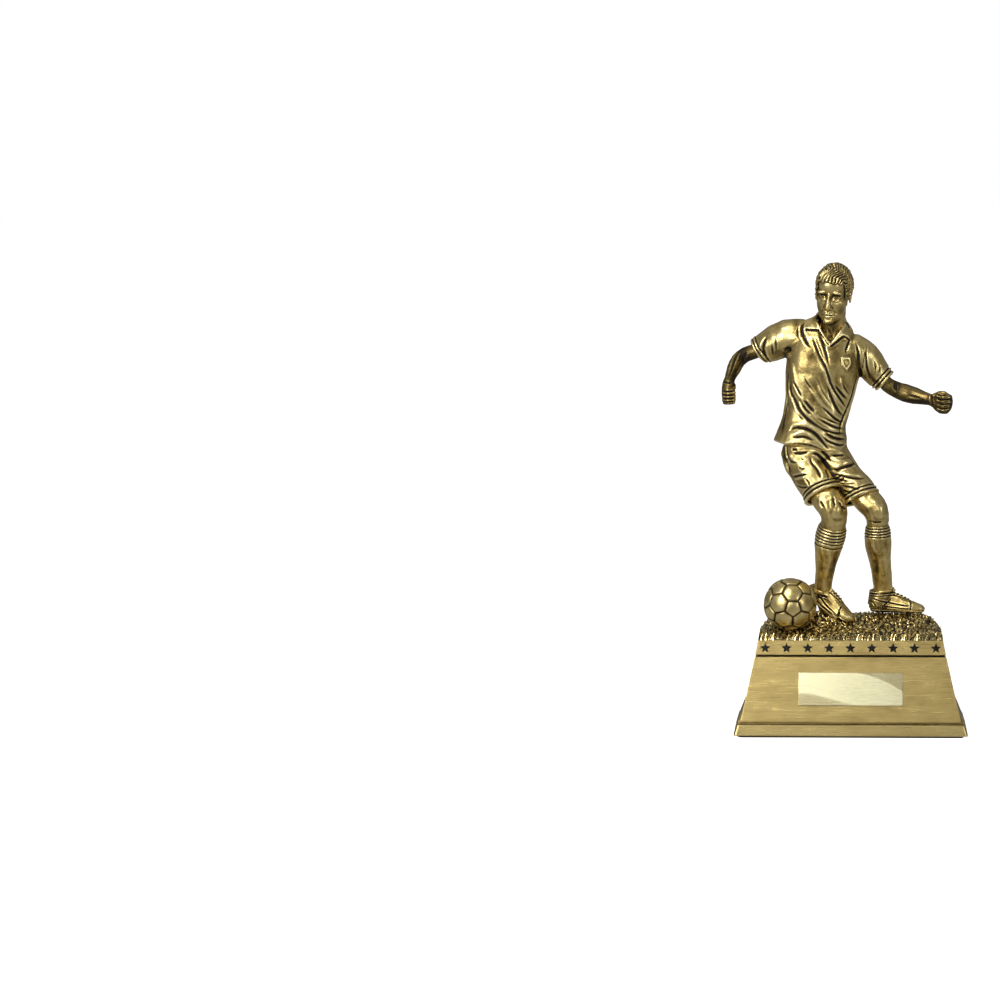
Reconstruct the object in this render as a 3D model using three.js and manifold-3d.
// A footballer figure trophy: resin castings pinned together on a hollow, weighted plinth.
// Millimetres, +Z up, the viewer stands at -Y. The origin is the middle of the felt underside.
import * as THREE from "three";
import { mergeVertices } from "three/addons/utils/BufferGeometryUtils.js";
import Module from "manifold-3d";

const wasm = await Module();
wasm.setup();

// ---------------------------------------------------------------- driving dimensions

const GAP = 0.3; // glue line between two castings
const PIN_GAP = 0.2; // round a steel pin in its hole
const FELT = 1; // felt thickness

// Half width, front edge and back edge of the plinth at each level.
const FOOT_BOTTOM = { z: FELT + PIN_GAP, wide: 73.4, front: -41.8, back: 41.8 };
const FOOT_TOP = { z: 8.2, wide: 71.3, front: -40.8, back: 40.8 };
const SHELL_BOTTOM = { z: 8.5, wide: 70.8, front: -37.4, back: 38.6 };
const SHELL_FLARE = { z: 20, wide: 66.2, front: -35.4, back: 36.6 };
const SHELL_TOP = { z: 49.9, wide: 59.4, front: -29.8, back: 31.2 };
const PANEL_BOTTOM = { z: 9.3, wide: 69 };
const PANEL_TOP = { z: 49.7, wide: 60 };
const PANEL_THICK = 1.9;
const BAND_BOTTOM = { z: 51.2, wide: 59.7, front: -31.6, back: 31.6 };
const BAND_TOP = { z: 60.4, wide: 57.9, front: -30, back: 30 };
const GROOVE_DEEP = 1.4; // how far the neck under the star band is set back
const WALL = 5; // resin wall of the hollow plinth

const STAR = { outer: 3, inner: 1.25, deep: 0.7, pitch: 13.5, front: 9, side: 4 };
const PLATE = { wide: 65, high: 20.6, thick: 0.8, tape: 0.5, z: 29.8 };

const BOARD = { wide: 128, deep: 68, thick: 2.6, corner: 4 };
const POST = { x: 54, y: 24.5, radius: 4.5, bottom: 4.2 };
const SCREW = { head: 3.4, headHigh: 1.4, shank: 1.5, length: 13 };
const BALLAST = { wide: 92, deep: 46, high: 7, chamfer: 1.5 };
const BOLT = { x: 34, shank: 3, head: 5, headHigh: 4, length: 14, insert: 4.2 };
const WASHER = { outer: 9, inner: 3.3, thick: 1.6 };

const BALL = { x: -37.9, y: -14.8, z: 81.6, radius: 16.9 };
const TURF = { rim: 60.7, lip: 0.7, rise: 12.9, wide: 57.4, deep: 29.4 };
const CLUMP = { x: -13, y: 0, wide: 7, deep: 6, high: 8 };

// ---------------------------------------------------------------- solids

// A closed three.js geometry as a solid that can be cut and joined.
function solid(geometry) {
  const bare = geometry.clone();
  bare.deleteAttribute("normal");
  bare.deleteAttribute("uv");
  const merged = mergeVertices(bare, 1e-4);
  const vertProperties = new Float32Array(merged.attributes.position.array);
  const triVerts = new Uint32Array(merged.index.array);
  const made = new wasm.Manifold(new wasm.Mesh({ numProp: 3, vertProperties, triVerts }));
  if (made.volume() > 0) return made;
  for (let i = 0; i < triVerts.length; i += 3) {
    [triVerts[i + 1], triVerts[i + 2]] = [triVerts[i + 2], triVerts[i + 1]];
  }
  return new wasm.Manifold(new wasm.Mesh({ numProp: 3, vertProperties, triVerts }));
}

function geometryOf(made) {
  const { vertProperties, triVerts, numProp } = made.getMesh();
  const geometry = new THREE.BufferGeometry();
  geometry.setAttribute("position", new THREE.BufferAttribute(new Float32Array(vertProperties), numProp));
  geometry.setIndex(new THREE.BufferAttribute(new Uint32Array(triVerts), 1));
  geometry.computeVertexNormals();
  return geometry;
}

const join = (...solids) => solids.reduce((a, b) => a.add(b));
const cut = (from, ...tools) => tools.reduce((a, b) => a.subtract(b), from);

// One section of a limb or garment: a rounded ring round (x, y, z), `wide` to each side,
// `front` and `back` through its depth. A `square` above 2 makes the ring boxier.
function ring(x, y, z, wide, front, back = front, square = 2) {
  return { at: new THREE.Vector3(x, y, z), size: new THREE.Vector3(wide, front, back), square };
}

// A smooth body through a row of sections: a cylinder whose rows are carried along a curve.
// `depthAxis` is the direction that front and back are measured along.
function loft(sections, { sides = 16, steps = 2, grow = 0, depthAxis = [0, 1, 0] } = {}) {
  const path = new THREE.CatmullRomCurve3(sections.map((s) => s.at));
  const sizes = new THREE.CatmullRomCurve3(sections.map((s) => s.size));
  const rows = (sections.length - 1) * steps;
  const geometry = new THREE.CylinderGeometry(1, 1, 1, sides, rows);
  const position = geometry.attributes.position;
  const toFront = new THREE.Vector3(...depthAxis).negate();
  for (let i = 0; i < position.count; i++) {
    const t = THREE.MathUtils.clamp(0.5 - position.getY(i), 0, 1);
    const along = path.getTangent(t);
    const front = toFront.clone().addScaledVector(along, -toFront.dot(along)).normalize();
    const side = new THREE.Vector3().crossVectors(along, front);
    const size = sizes.getPoint(t);
    const reach = Math.hypot(position.getX(i), position.getZ(i));
    const angle = Math.atan2(position.getZ(i), position.getX(i));
    const square = sections[Math.round(t * (sections.length - 1))].square;
    const rounded = (v) => Math.sign(v) * Math.abs(v) ** (2 / square);
    const across = rounded(Math.cos(angle)) * reach * (size.x + grow);
    const depth = rounded(Math.sin(angle)) * reach;
    const deep = depth * ((depth > 0 ? size.y : size.z) + grow);
    const end = t === 0 ? -grow : t === 1 ? grow : 0;
    const point = path.getPoint(t).addScaledVector(along, end);
    point.addScaledVector(side, across).addScaledVector(front, deep);
    position.setXYZ(i, point.x, point.y, point.z);
  }
  return solid(geometry);
}

// A round bar from one point to another.
function bar(from, to, radius, sides = 12) {
  const a = new THREE.Vector3(...from);
  const b = new THREE.Vector3(...to);
  const geometry = new THREE.CylinderGeometry(radius, radius, a.distanceTo(b), sides);
  const along = b.clone().sub(a).normalize();
  geometry.applyQuaternion(new THREE.Quaternion().setFromUnitVectors(new THREE.Vector3(0, 1, 0), along));
  geometry.translate(...a.add(b).multiplyScalar(0.5));
  return solid(geometry);
}

// A box whose lower and upper rectangles differ: each level has wide, front, back and z.
function taper(low, high) {
  const geometry = new THREE.BoxGeometry(1, 1, 1);
  const position = geometry.attributes.position;
  for (let i = 0; i < position.count; i++) {
    const level = position.getZ(i) < 0 ? low : high;
    const x = Math.sign(position.getX(i)) * level.wide;
    const y = position.getY(i) < 0 ? level.front : level.back;
    position.setXYZ(i, x, y, level.z);
  }
  return solid(geometry);
}

const inset = (level, by, z = level.z) => ({
  z,
  wide: level.wide - by,
  front: level.front + by,
  back: level.back - by,
});

// A flat plate with rounded corners, lying on z.
function roundedPlate(wide, deep, thick, corner, z) {
  const [w, d] = [wide / 2, deep / 2];
  const outline = new THREE.Shape()
    .moveTo(-w + corner, -d)
    .lineTo(w - corner, -d)
    .absarc(w - corner, -d + corner, corner, -Math.PI / 2, 0)
    .absarc(w - corner, d - corner, corner, 0, Math.PI / 2)
    .absarc(-w + corner, d - corner, corner, Math.PI / 2, Math.PI)
    .absarc(-w + corner, -d + corner, corner, Math.PI, 1.5 * Math.PI);
  const options = { depth: thick, bevelEnabled: false, curveSegments: 4 };
  return solid(new THREE.ExtrudeGeometry(outline, options).translate(0, 0, z));
}

// ---------------------------------------------------------------- materials and scene graph

const finish = (color, roughness, metalness) =>
  new THREE.MeshStandardMaterial({ color, roughness, metalness });
const FINISH = {
  antiqueGold: finish(0x9c8142, 0.38, 0.85),
  brushedGold: finish(0xb59a55, 0.42, 0.85),
  plate: finish(0xe3dfb0, 0.12, 1),
  steel: finish(0xb8babd, 0.35, 1),
  brass: finish(0xc7a04a, 0.3, 1),
  iron: finish(0x3c3b3a, 0.7, 0.6),
  board: finish(0x8a6a45, 0.85, 0),
  felt: finish(0x1b1c1e, 1, 0),
  tape: finish(0xd8d8d2, 0.8, 0),
};

const trophy = new THREE.Group();
function add(name, made, material, into = trophy) {
  const mesh = new THREE.Mesh(geometryOf(made), material);
  mesh.name = name;
  into.add(mesh);
  return mesh;
}

// ---------------------------------------------------------------- the figure's castings

const RIGHT_ARM = [
  ring(-54.5, 9.2, 242.7, 4.4, 4.4),
  ring(-60.5, 11, 240.3, 4.8, 4.8),
  ring(-66.5, 12.3, 238.2, 4.9, 4.9),
  ring(-71, 9.6, 234.5, 4.8, 4.9),
  ring(-73.6, 4, 229.6, 4.6, 4.7),
  ring(-76, -3, 223.8, 3.4, 3.6),
  ring(-76.8, -6, 220.5, 3.9, 3.9),
  ring(-76.8, -8.2, 216.1, 4.3, 5.6),
  ring(-76.6, -9, 211.1, 4.3, 5.4),
  ring(-76.4, -9.2, 207.6, 2.6, 3.4),
];
const LEFT_ARM = [
  ring(18.6, 2, 224.9, 4.5, 4.5),
  ring(23.2, 2, 219.5, 4.8, 4.8),
  ring(29, 1.5, 216.3, 5.2, 5.2),
  ring(34.5, -1.2, 214.3, 5.7, 5.4),
  ring(41, -5.5, 212.6, 5.3, 5),
  ring(49.5, -11.5, 210.7, 3.7, 3.6),
  ring(53, -13.8, 210, 4.6, 4.2),
  ring(57.2, -16.4, 208.8, 6.9, 4.6),
  ring(61, -18.6, 208.1, 6.4, 4.4),
  ring(62.6, -19.5, 207.8, 4, 2.8),
];
const NECK = [
  ring(-12.6, 1.4, 245, 7.6, 7.6),
  ring(-11.8, 0.6, 250.9, 7.6, 7.6),
  ring(-11, -0.6, 256.8, 7.4, 7.6),
  ring(-10.4, -2, 263.7, 7.6, 8.4),
  ring(-10, -3, 270.6, 7.4, 8.4),
];
const HEAD = [
  ring(-12.4, -14.6, 258.5, 2.6, 2.2, 2.4),
  ring(-12.2, -12.2, 260, 5.6, 4.8, 5.4),
  ring(-11.8, -9, 263.7, 8.2, 9, 8.4, 2.2),
  ring(-11.2, -6.6, 269.8, 10, 11.8, 13.2, 2.2),
  ring(-10.4, -5, 276.9, 11, 13.4, 15.4, 2.2),
  ring(-9.8, -4.2, 283.5, 11.6, 13.6, 16, 2.2),
  ring(-9.3, -3.6, 289.5, 11.4, 13, 15, 2.2),
  ring(-9, -3, 294.3, 8.6, 9.8, 11, 2),
  ring(-8.8, -2.8, 297.3, 3, 3.2, 3.4, 2),
];
const TORSO = [
  ring(-25.2, 1.6, 180.4, 24, 17.8, 17.4, 2.3),
  ring(-24.2, 1.2, 187.6, 22.4, 16.4, 16.2, 2.3),
  ring(-22.8, 0.8, 197.8, 20.2, 15, 14.8, 2.3),
  ring(-20.4, 0.6, 208.1, 20.9, 14.8, 14.4, 2.3),
  ring(-18.8, 0.4, 218.5, 22.4, 15.4, 15, 2.3),
  ring(-17.4, 0.2, 228.6, 23.6, 16, 15.6, 2.3),
  ring(-16, 0.6, 238.4, 24, 15.2, 15.6, 2.3),
  ring(-14.6, 1.2, 247, 23, 12.6, 14, 2.2),
  ring(-13.2, 1.8, 253.5, 16.6, 9.8, 11),
  ring(-12.2, 2.2, 258.7, 9.4, 8.6, 8.4),
];
const RIGHT_SLEEVE = [
  ring(-22, 1.6, 248.4, 9.6, 9.6),
  ring(-30, 2.8, 249.6, 11.6, 11.2),
  ring(-40, 4.8, 249, 11.9, 11),
  ring(-51.4, 8, 243.9, 10.7, 9.6),
  ring(-60.6, 10.9, 240.3, 7.5, 7.5),
];
const LEFT_SLEEVE = [
  ring(-6, 1.4, 243.4, 9, 9.6),
  ring(1.6, 1.6, 242.4, 9.8, 10.4),
  ring(8.8, 1.8, 236.8, 10.2, 10.4),
  ring(15.6, 2, 228.1, 9.3, 9.4),
  ring(22.8, 2, 219.9, 7.3, 7.3),
];
const PELVIS = [
  ring(-22.8, 1.6, 189.9, 17.4, 12.4),
  ring(-22.4, 2, 182.9, 20.4, 14.6, 16.4),
  ring(-22.4, 2.4, 177, 21.8, 15.6, 18),
  ring(-21.4, 2.2, 170.8, 18, 14.6, 17),
  ring(-19.6, 1.2, 166, 9, 9, 11),
];
const RIGHT_SHORT_LEG = [
  ring(-30.6, 2.2, 180, 12, 12, 13),
  ring(-30, 1.4, 173.7, 13.4, 13.6, 15.4),
  ring(-27.2, -0.8, 167.1, 12.4, 14.4, 15.4),
  ring(-22.6, -4.6, 159.4, 12.4, 14, 14),
  ring(-19, -7.8, 154.6, 12.4, 13.4, 13),
  ring(-16.6, -10, 149.8, 12.9, 12.8, 12.6),
];
const LEFT_SHORT_LEG = [
  ring(-12.5, 2.2, 180, 10.4, 12, 13),
  ring(-9, 1.4, 171.6, 10.4, 13.2, 14.6),
  ring(-4.2, -1, 164, 10.2, 13.4, 14.2),
  ring(1.2, -4, 157.4, 10.2, 13, 13.2),
  ring(4.9, -6.4, 152.8, 10.9, 12.8, 12.8),
  ring(7.2, -8, 147.6, 12, 12.6, 12.6),
];
const RIGHT_LEG = [
  ring(-19.4, -8, 154.5, 9, 9.4),
  ring(-16.2, -11, 149.4, 9.3, 9.6),
  ring(-11.8, -15, 143.8, 9.4, 8.6),
  ring(-10.2, -15.6, 138.2, 8.6, 8.4, 8.2),
  ring(-10.8, -14, 132.5, 8, 8.2, 8),
  ring(-12.2, -11, 126.3, 9, 8.6, 9.6),
  ring(-13.6, -8, 119.5, 8.8, 8, 9.4),
  ring(-14.8, -5.2, 111.9, 7.2, 6.8, 7.8),
  ring(-15.8, -2.6, 104.1, 5.8, 5.8, 6),
  ring(-16.8, 0, 96.5, 5.2, 5.2, 5.2),
  ring(-17.6, 2.2, 90.2, 5, 5.2, 5),
  ring(-18.4, 4, 85.5, 4.4, 4.6, 4.4),
];
const LEFT_LEG = [
  ring(6, -6.2, 152.6, 8.6, 9),
  ring(9.4, -8.4, 148.2, 8.7, 9.2),
  ring(14.4, -11.6, 143, 8.6, 8.6),
  ring(16.8, -12.2, 137.6, 7.6, 8, 8),
  ring(17, -10.4, 131.9, 6.9, 7.6, 7.6),
  ring(17.1, -7.2, 125.7, 7.9, 8, 9),
  ring(17.4, -4, 118.9, 8, 7.8, 9),
  ring(18.2, -0.6, 111.3, 6.8, 6.8, 7.6),
  ring(19.3, 3, 103.2, 6, 5.8, 6),
  ring(20, 6, 96, 5.8, 5.4, 5.4),
  ring(20.6, 8.4, 90.1, 5.6, 5.4, 5.2),
  ring(20.9, 9.6, 85.6, 4.8, 4.8, 4.6),
];
// Boots run from heel to toe, so their depth is measured up and down.
const RIGHT_BOOT = [
  ring(-26.2, 8.4, 90.2, 2, 2.2, 2.4),
  ring(-24.4, 7.2, 89.2, 4.2, 4.6, 4.8, 2.4),
  ring(-19.4, 3.8, 86, 4.8, 6.6, 5.2, 2.4),
  ring(-13.2, -0.2, 81.6, 5, 7.4, 4.6, 2.4),
  ring(-7.2, -4, 76.8, 5.4, 5.4, 4, 2.4),
  ring(-2.2, -7.2, 73.2, 4.9, 3.8, 3.2, 2.4),
  ring(0.6, -9.2, 72.1, 3.4, 2.6, 2.4, 2.2),
  ring(1.6, -10, 71.8, 1.2, 1, 1),
];
const LEFT_BOOT = [
  ring(12.1, 12, 79.8, 1.8, 2.4, 2.6),
  ring(13.7, 11.6, 79.6, 3.9, 4.4, 4.8, 2.4),
  ring(19.2, 10.2, 79.6, 4.8, 6.6, 5.2, 2.4),
  ring(26, 8.6, 79.2, 4.8, 8.2, 4.8, 2.4),
  ring(33.6, 6.6, 78.2, 5.3, 6, 3.8, 2.4),
  ring(40.4, 4.8, 77.4, 5, 4.2, 3, 2.4),
  ring(45.2, 3.6, 77, 3.4, 2.8, 2.4, 2.2),
  ring(46.9, 3.2, 76.9, 1.2, 1, 1),
];
// The collars that the socks go down into.
const RIGHT_CUFF = [
  ring(-17.5, 2, 90.6, 6, 6.2, 6),
  ring(-18, 3, 87.7, 6, 6.2, 6),
  ring(-18.6, 3.8, 82.9, 4.8, 5.2, 5.2),
];
const LEFT_CUFF = [
  ring(20.6, 8.4, 90.1, 6.7, 6.2, 6),
  ring(20.8, 9.2, 86.8, 6.6, 6, 5.8),
  ring(21, 9.8, 81.2, 5, 4.6, 4.6),
];

const boot = (sole, cuff, grow = 0) =>
  join(loft(sole, { depthAxis: [0, 0, -1], grow }), loft(cuff, { grow }));

// Steel pins: where each runs, and how thick it is.
const PINS = {
  neck_pin: { from: [-13.4, 1.8, 236], to: [-10.9, -1.2, 260], radius: 1.6 },
  waist_pin: { from: [-22, 2, 172], to: [-21.4, 1, 200], radius: 2 },
  right_arm_pin: { from: [-47, 7, 244.6], to: [-64.5, 11.8, 237.4], radius: 1.3 },
  left_arm_pin: { from: [13, 2, 230], to: [26.6, 1.7, 216.4], radius: 1.3 },
  right_hip_pin: { from: [-24.4, -3.4, 161.2], to: [-13, -13.6, 144.6], radius: 1.7 },
  left_hip_pin: { from: [-0.4, -2.8, 160], to: [13, -10.7, 143.8], radius: 1.7 },
  right_ankle_pin: { from: [-16.6, -0.4, 95.6], to: [-18.9, 5.2, 80.6], radius: 1.3 },
  left_ankle_pin: { from: [20, 6.1, 93.6], to: [21.1, 10.6, 77.6], radius: 1.3 },
  right_foot_pin: { from: [-10, -2.2, 56.4], to: [-10, -2.2, 78], radius: 1.6 },
  left_foot_pin: { from: [31, 7.4, 56.4], to: [31, 7.4, 78.6], radius: 1.6 },
  ball_pin: { from: [BALL.x, BALL.y, 55.4], to: [BALL.x, BALL.y, 72], radius: 1.6 },
};
const pinHole = (name) => {
  const { from, to, radius } = PINS[name];
  const a = new THREE.Vector3(...from);
  const b = new THREE.Vector3(...to);
  const beyond = b.clone().sub(a).setLength(PIN_GAP);
  return bar(a.sub(beyond).toArray(), b.add(beyond).toArray(), radius + PIN_GAP);
};

const rightArm = loft(RIGHT_ARM);
const leftArm = loft(LEFT_ARM);
const neck = loft(NECK, { steps: 1 });
const skull = loft(HEAD, { sides: 20 });
const rightLeg = loft(RIGHT_LEG);
const leftLeg = loft(LEFT_LEG);
const shortsBody = (grow) =>
  join(
    loft(PELVIS, { sides: 24, grow }),
    loft(RIGHT_SHORT_LEG, { sides: 20, grow }),
    loft(LEFT_SHORT_LEG, { sides: 20, grow }),
  );
const rightBoot = boot(RIGHT_BOOT, RIGHT_CUFF);
const leftBoot = boot(LEFT_BOOT, LEFT_CUFF);

// The neck opening of the shirt, with a V to the front.
const neckOpening = loft(
  [ring(-12.9, 1.6, 246.4, 7.9, 7.9), ring(-12.3, 0.2, 252, 9, 11), ring(-11.4, 0.6, 261, 9.2, 11)],
  { steps: 1 },
);

add("head", cut(join(skull, neck), pinHole("neck_pin")), FINISH.antiqueGold);
add(
  "shirt",
  cut(
    join(loft(TORSO, { sides: 28 }), loft(RIGHT_SLEEVE, { sides: 20 }), loft(LEFT_SLEEVE, { sides: 20 })),
    shortsBody(GAP),
    loft(NECK, { steps: 1, grow: GAP }),
    neckOpening,
    loft(RIGHT_ARM, { grow: GAP }),
    loft(LEFT_ARM, { grow: GAP }),
    pinHole("neck_pin"),
    pinHole("waist_pin"),
    pinHole("right_arm_pin"),
    pinHole("left_arm_pin"),
  ),
  FINISH.antiqueGold,
);
add("right_arm", cut(rightArm, pinHole("right_arm_pin")), FINISH.antiqueGold);
add("left_arm", cut(leftArm, pinHole("left_arm_pin")), FINISH.antiqueGold);
add(
  "shorts",
  cut(
    shortsBody(0),
    loft(RIGHT_LEG, { grow: GAP }),
    loft(LEFT_LEG, { grow: GAP }),
    pinHole("waist_pin"),
    pinHole("right_hip_pin"),
    pinHole("left_hip_pin"),
  ),
  FINISH.antiqueGold,
);
add("right_leg", cut(rightLeg, pinHole("right_hip_pin"), pinHole("right_ankle_pin")), FINISH.antiqueGold);
add("left_leg", cut(leftLeg, pinHole("left_hip_pin"), pinHole("left_ankle_pin")), FINISH.antiqueGold);
add(
  "right_boot",
  cut(rightBoot, loft(RIGHT_LEG, { grow: GAP }), pinHole("right_ankle_pin"), pinHole("right_foot_pin")),
  FINISH.antiqueGold,
);
add(
  "left_boot",
  cut(leftBoot, loft(LEFT_LEG, { grow: GAP }), pinHole("left_ankle_pin"), pinHole("left_foot_pin")),
  FINISH.antiqueGold,
);
for (const [name, pin] of Object.entries(PINS)) {
  add(name, bar(pin.from, pin.to, pin.radius), FINISH.steel);
}

// ---------------------------------------------------------------- ball and turf

const sphere = (radius) => solid(new THREE.IcosahedronGeometry(radius, 4).translate(BALL.x, BALL.y, BALL.z));
add("ball", cut(sphere(BALL.radius), pinHole("ball_pin")), FINISH.antiqueGold);

// The turf is highest where the standing foot is, and falls away to every edge. A clump of it
// holds up the raised heel of the kicking foot.
function turfHeight(x, y) {
  const clump = Math.exp(-(((x - CLUMP.x) / CLUMP.wide) ** 2) - ((y - CLUMP.y) / CLUMP.deep) ** 2);
  const ends = 1 - Math.abs(x / (TURF.wide + 0.2)) ** 12;
  const front = THREE.MathUtils.smoothstep(y, -34, 8);
  const back = 1 - 0.75 * THREE.MathUtils.smoothstep(y, 8, TURF.deep + 1) ** 2;
  return TURF.rim + TURF.lip + TURF.rise * ends * front * back + CLUMP.high * clump;
}

function turf() {
  const block = new THREE.BoxGeometry(2, 2 * TURF.deep, 1, 20, 12, 1);
  const position = block.attributes.position;
  for (let i = 0; i < position.count; i++) {
    const x = TURF.wide * Math.sin((position.getX(i) * Math.PI) / 2);
    const y = position.getY(i);
    position.setXYZ(i, x, y, position.getZ(i) > 0 ? turfHeight(x, y) : TURF.rim);
  }
  return solid(block);
}
add(
  "turf",
  cut(
    turf(),
    sphere(BALL.radius + 2 * GAP),
    boot(RIGHT_BOOT, RIGHT_CUFF, GAP),
    boot(LEFT_BOOT, LEFT_CUFF, GAP),
    pinHole("right_foot_pin"),
    pinHole("left_foot_pin"),
    pinHole("ball_pin"),
  ),
  FINISH.antiqueGold,
);

// ---------------------------------------------------------------- star band

function starPocket() {
  const outline = new THREE.Shape();
  for (let i = 0; i < 10; i++) {
    const reach = i % 2 ? STAR.inner : STAR.outer;
    const angle = Math.PI / 2 + (i * Math.PI) / 5;
    outline[i ? "lineTo" : "moveTo"](reach * Math.cos(angle), reach * Math.sin(angle));
  }
  const geometry = new THREE.ExtrudeGeometry(outline, { depth: 2 * STAR.deep, bevelEnabled: false });
  return geometry.translate(0, 0, -STAR.deep).rotateX(Math.PI / 2);
}

const bandHigh = BAND_TOP.z - BAND_BOTTOM.z;
const starLevel = BAND_BOTTOM.z + bandHigh / 2 - 0.3;
const frontLean = Math.atan2(BAND_TOP.front - BAND_BOTTOM.front, bandHigh);
const sideLean = Math.atan2(BAND_BOTTOM.wide - BAND_TOP.wide, bandHigh);
const starRow = (count) => Array.from({ length: count }, (_, i) => (i - (count - 1) / 2) * STAR.pitch);
const frontStars = starRow(STAR.front).map((x) =>
  solid(starPocket().rotateX(-frontLean).translate(x, (BAND_TOP.front + BAND_BOTTOM.front) / 2, starLevel)),
);
const sideStars = [-1, 1].flatMap((side) =>
  starRow(STAR.side).map((y) => {
    const pocket = starPocket().rotateX(-sideLean).rotateZ((side * Math.PI) / 2);
    return solid(pocket.translate((side * (BAND_TOP.wide + BAND_BOTTOM.wide)) / 2, y, starLevel));
  }),
);

const insertHole = (side) =>
  bar([side * BOLT.x, 0, SHELL_TOP.z], [side * BOLT.x, 0, SHELL_TOP.z + 8.4], BOLT.insert + PIN_GAP, 16);
const bandNeck = taper(
  inset(BAND_BOTTOM, GROOVE_DEEP, SHELL_TOP.z + GAP),
  inset(BAND_BOTTOM, GROOVE_DEEP, BAND_BOTTOM.z + 1),
);
add(
  "star_band",
  cut(
    join(taper(BAND_BOTTOM, BAND_TOP), bandNeck),
    ...frontStars,
    ...sideStars,
    insertHole(-1),
    insertHole(1),
    pinHole("right_foot_pin"),
    pinHole("left_foot_pin"),
    pinHole("ball_pin"),
  ),
  FINISH.brushedGold,
);

// ---------------------------------------------------------------- plinth

const shellCeiling = SHELL_TOP.z - WALL;
const shellHollow = join(
  taper(inset(SHELL_BOTTOM, WALL, SHELL_BOTTOM.z - 1), inset(SHELL_FLARE, WALL)),
  taper(inset(SHELL_FLARE, WALL, SHELL_FLARE.z - 0.1), inset(SHELL_TOP, WALL, shellCeiling)),
);
const CORNERS = [
  [-1, -1],
  [1, -1],
  [1, 1],
  [-1, 1],
];
const atCorner = (bottom, top, radius, sides) =>
  CORNERS.map(([sx, sy]) => {
    const [x, y] = [sx * POST.x, sy * POST.y];
    return bar([x, y, bottom], [x, y, top], radius, sides);
  });
const posts = atCorner(POST.bottom, shellCeiling + 1, POST.radius, 14);
const pilots = atCorner(POST.bottom - 1, POST.bottom + 14, SCREW.shank + PIN_GAP);
const shellOuter = join(
  taper(SHELL_BOTTOM, SHELL_FLARE),
  taper(inset(SHELL_FLARE, 0, SHELL_FLARE.z - 0.01), SHELL_TOP),
);
const boltHole = (side) =>
  bar([side * BOLT.x, 0, shellCeiling - 1], [side * BOLT.x, 0, SHELL_TOP.z + 1], BOLT.shank + PIN_GAP, 16);
add(
  "plinth_shell",
  cut(join(cut(shellOuter, shellHollow), ...posts), ...pilots, boltHole(-1), boltHole(1)),
  FINISH.brushedGold,
);

// The foot is a frame under the shell's rim, rebated from below for the board.
const footOpening = { wide: 60.5, front: -32.5, back: 32.5 };
const footTop = FOOT_TOP.z + 1;
const rebateHigh = FELT + GAP + BOARD.thick + GAP;
add(
  "plinth_foot",
  cut(
    taper(FOOT_BOTTOM, FOOT_TOP),
    taper({ ...footOpening, z: 0 }, { ...footOpening, z: footTop }),
    roundedPlate(BOARD.wide + 2 * GAP, BOARD.deep + 2 * GAP, rebateHigh, BOARD.corner, 0),
  ),
  FINISH.brushedGold,
);

// The front panel, its tape and its plate lean with the plinth's face.
const panelRise = SHELL_TOP.z - SHELL_FLARE.z;
const faceLean = Math.atan2(SHELL_TOP.front - SHELL_FLARE.front, panelRise);
const faceY = (z) => SHELL_FLARE.front + (z - SHELL_FLARE.z) * Math.tan(faceLean);

// A sheet cut to a flat outline (x, height above the panel's foot), stood up `off` in front of the face.
function sheetOnFace(outline, thick, off) {
  const geometry = new THREE.ExtrudeGeometry(outline, { depth: thick, bevelEnabled: false });
  geometry.rotateX(Math.PI / 2).translate(0, -off, 0).rotateX(-faceLean);
  return solid(geometry.translate(0, faceY(PANEL_BOTTOM.z), PANEL_BOTTOM.z));
}
const panelHigh = (PANEL_TOP.z - PANEL_BOTTOM.z) / Math.cos(faceLean);
const panelOutline = new THREE.Shape()
  .moveTo(-PANEL_BOTTOM.wide, 0)
  .lineTo(PANEL_BOTTOM.wide, 0)
  .lineTo(PANEL_TOP.wide, panelHigh)
  .lineTo(-PANEL_TOP.wide, panelHigh);
const plateLevel = (PLATE.z - PANEL_BOTTOM.z) / Math.cos(faceLean);
const plateOutline = (less) => {
  const [w, h] = [PLATE.wide / 2 - less, PLATE.high / 2 - less];
  return new THREE.Shape()
    .moveTo(-w, plateLevel - h)
    .lineTo(w, plateLevel - h)
    .lineTo(w, plateLevel + h)
    .lineTo(-w, plateLevel + h);
};
const SHEET_GAP = 0.05; // under the thin tape and plate
const panelOff = GAP;
const tapeOff = panelOff + PANEL_THICK + SHEET_GAP;
const plateOff = tapeOff + PLATE.tape + SHEET_GAP;

// The flare of the shell stands in front of the leaning face at the foot, so the panel's back is let into it.
const flareClearance = taper(inset(SHELL_BOTTOM, -GAP), inset(SHELL_FLARE, -GAP));
const panel = sheetOnFace(panelOutline, PANEL_THICK, panelOff);
add("front_panel", cut(panel, flareClearance), FINISH.brushedGold);
add("plate_tape", sheetOnFace(plateOutline(1.5), PLATE.tape, tapeOff), FINISH.tape);
add("engraving_plate", sheetOnFace(plateOutline(0), PLATE.thick, plateOff), FINISH.plate);

// ---------------------------------------------------------------- weight and fixings

const boardBottom = FELT + GAP;
const boardTop = boardBottom + BOARD.thick;
const screwSeat = boardBottom + SCREW.headHigh;
const screws = (grow = 0) => {
  const heads = atCorner(boardBottom - grow, screwSeat + grow, SCREW.head + grow);
  const shanks = atCorner(screwSeat - 0.5, boardBottom + SCREW.length, SCREW.shank + grow);
  return heads.map((head, i) => head.add(shanks[i]));
};
add(
  "base_board",
  cut(roundedPlate(BOARD.wide, BOARD.deep, BOARD.thick, BOARD.corner, boardBottom), ...screws(PIN_GAP)),
  FINISH.board,
);
screws().forEach((screw, i) => add("base_screw_" + (i + 1), screw, FINISH.steel));

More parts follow.
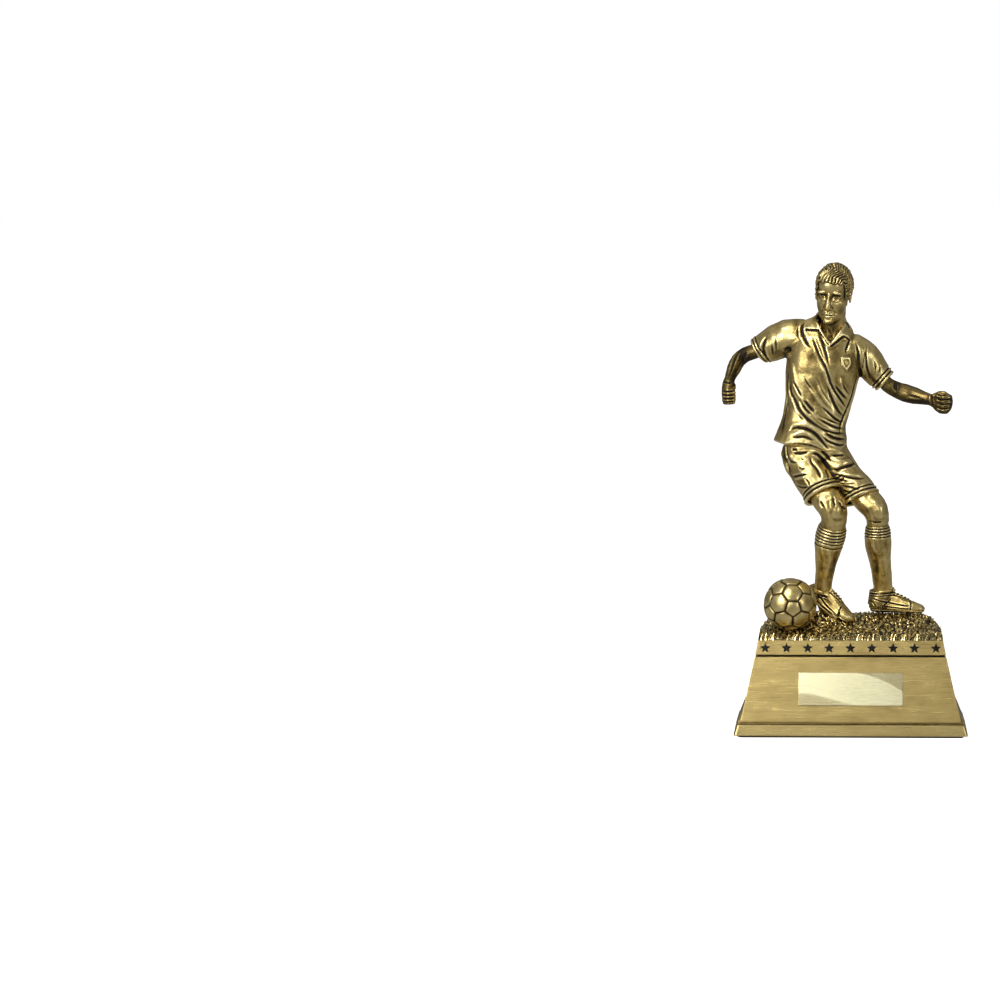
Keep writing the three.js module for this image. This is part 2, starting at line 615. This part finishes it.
const felt = roundedPlate(2 * FOOT_BOTTOM.wide - 6, 2 * FOOT_BOTTOM.back - 6, FELT, 3, 0);
add("felt_pad", felt, FINISH.felt);

const ballastBottom = boardTop + GAP;
const ballastHalf = { wide: BALLAST.wide / 2, front: -BALLAST.deep / 2, back: BALLAST.deep / 2 };
const ballastShoulder = ballastBottom + BALLAST.high - BALLAST.chamfer;
add(
  "ballast_block",
  join(
    taper({ ...ballastHalf, z: ballastBottom }, { ...ballastHalf, z: ballastShoulder }),
    taper(
      { ...ballastHalf, z: ballastShoulder - 0.01 },
      inset({ ...ballastHalf, z: 0 }, BALLAST.chamfer, ballastBottom + BALLAST.high),
    ),
  ),
  FINISH.iron,
);

// Two bolts come up through the plinth's top wall into brass inserts in the star band.
function hexagon(acrossFlats, high, z) {
  const corner = acrossFlats / Math.sqrt(3);
  const geometry = new THREE.CylinderGeometry(corner, corner, high, 6);
  return solid(geometry.rotateX(Math.PI / 2).translate(0, 0, z + high / 2));
}
const INSERT_LONG = 7;
const washerTop = shellCeiling - PIN_GAP;
const washerBottom = washerTop - WASHER.thick;
const headTop = washerBottom - PIN_GAP;
const boltTip = headTop + BOLT.length;
[-1, 1].forEach((side, i) => {
  const fixing = new THREE.Group();
  fixing.position.x = side * BOLT.x;
  trophy.add(fixing);
  const bolt = join(
    hexagon(2 * BOLT.head, BOLT.headHigh, headTop - BOLT.headHigh),
    bar([0, 0, headTop - 1], [0, 0, boltTip], BOLT.shank - PIN_GAP, 16),
  );
  add("turf_bolt_" + (i + 1), bolt, FINISH.steel, fixing);
  const washer = cut(
    bar([0, 0, washerBottom], [0, 0, washerTop], WASHER.outer, 20),
    bar([0, 0, washerBottom - 1], [0, 0, washerTop + 1], WASHER.inner, 16),
  );
  add("turf_washer_" + (i + 1), washer, FINISH.steel, fixing);
  const insertBottom = SHELL_TOP.z + 2 * GAP;
  const insert = cut(
    bar([0, 0, insertBottom], [0, 0, insertBottom + INSERT_LONG], BOLT.insert, 16),
    bar([0, 0, insertBottom - 1], [0, 0, insertBottom + INSERT_LONG + 1], BOLT.shank, 16),
  );
  add("threaded_insert_" + (i + 1), insert, FINISH.brass, fixing);
});

export default trophy;
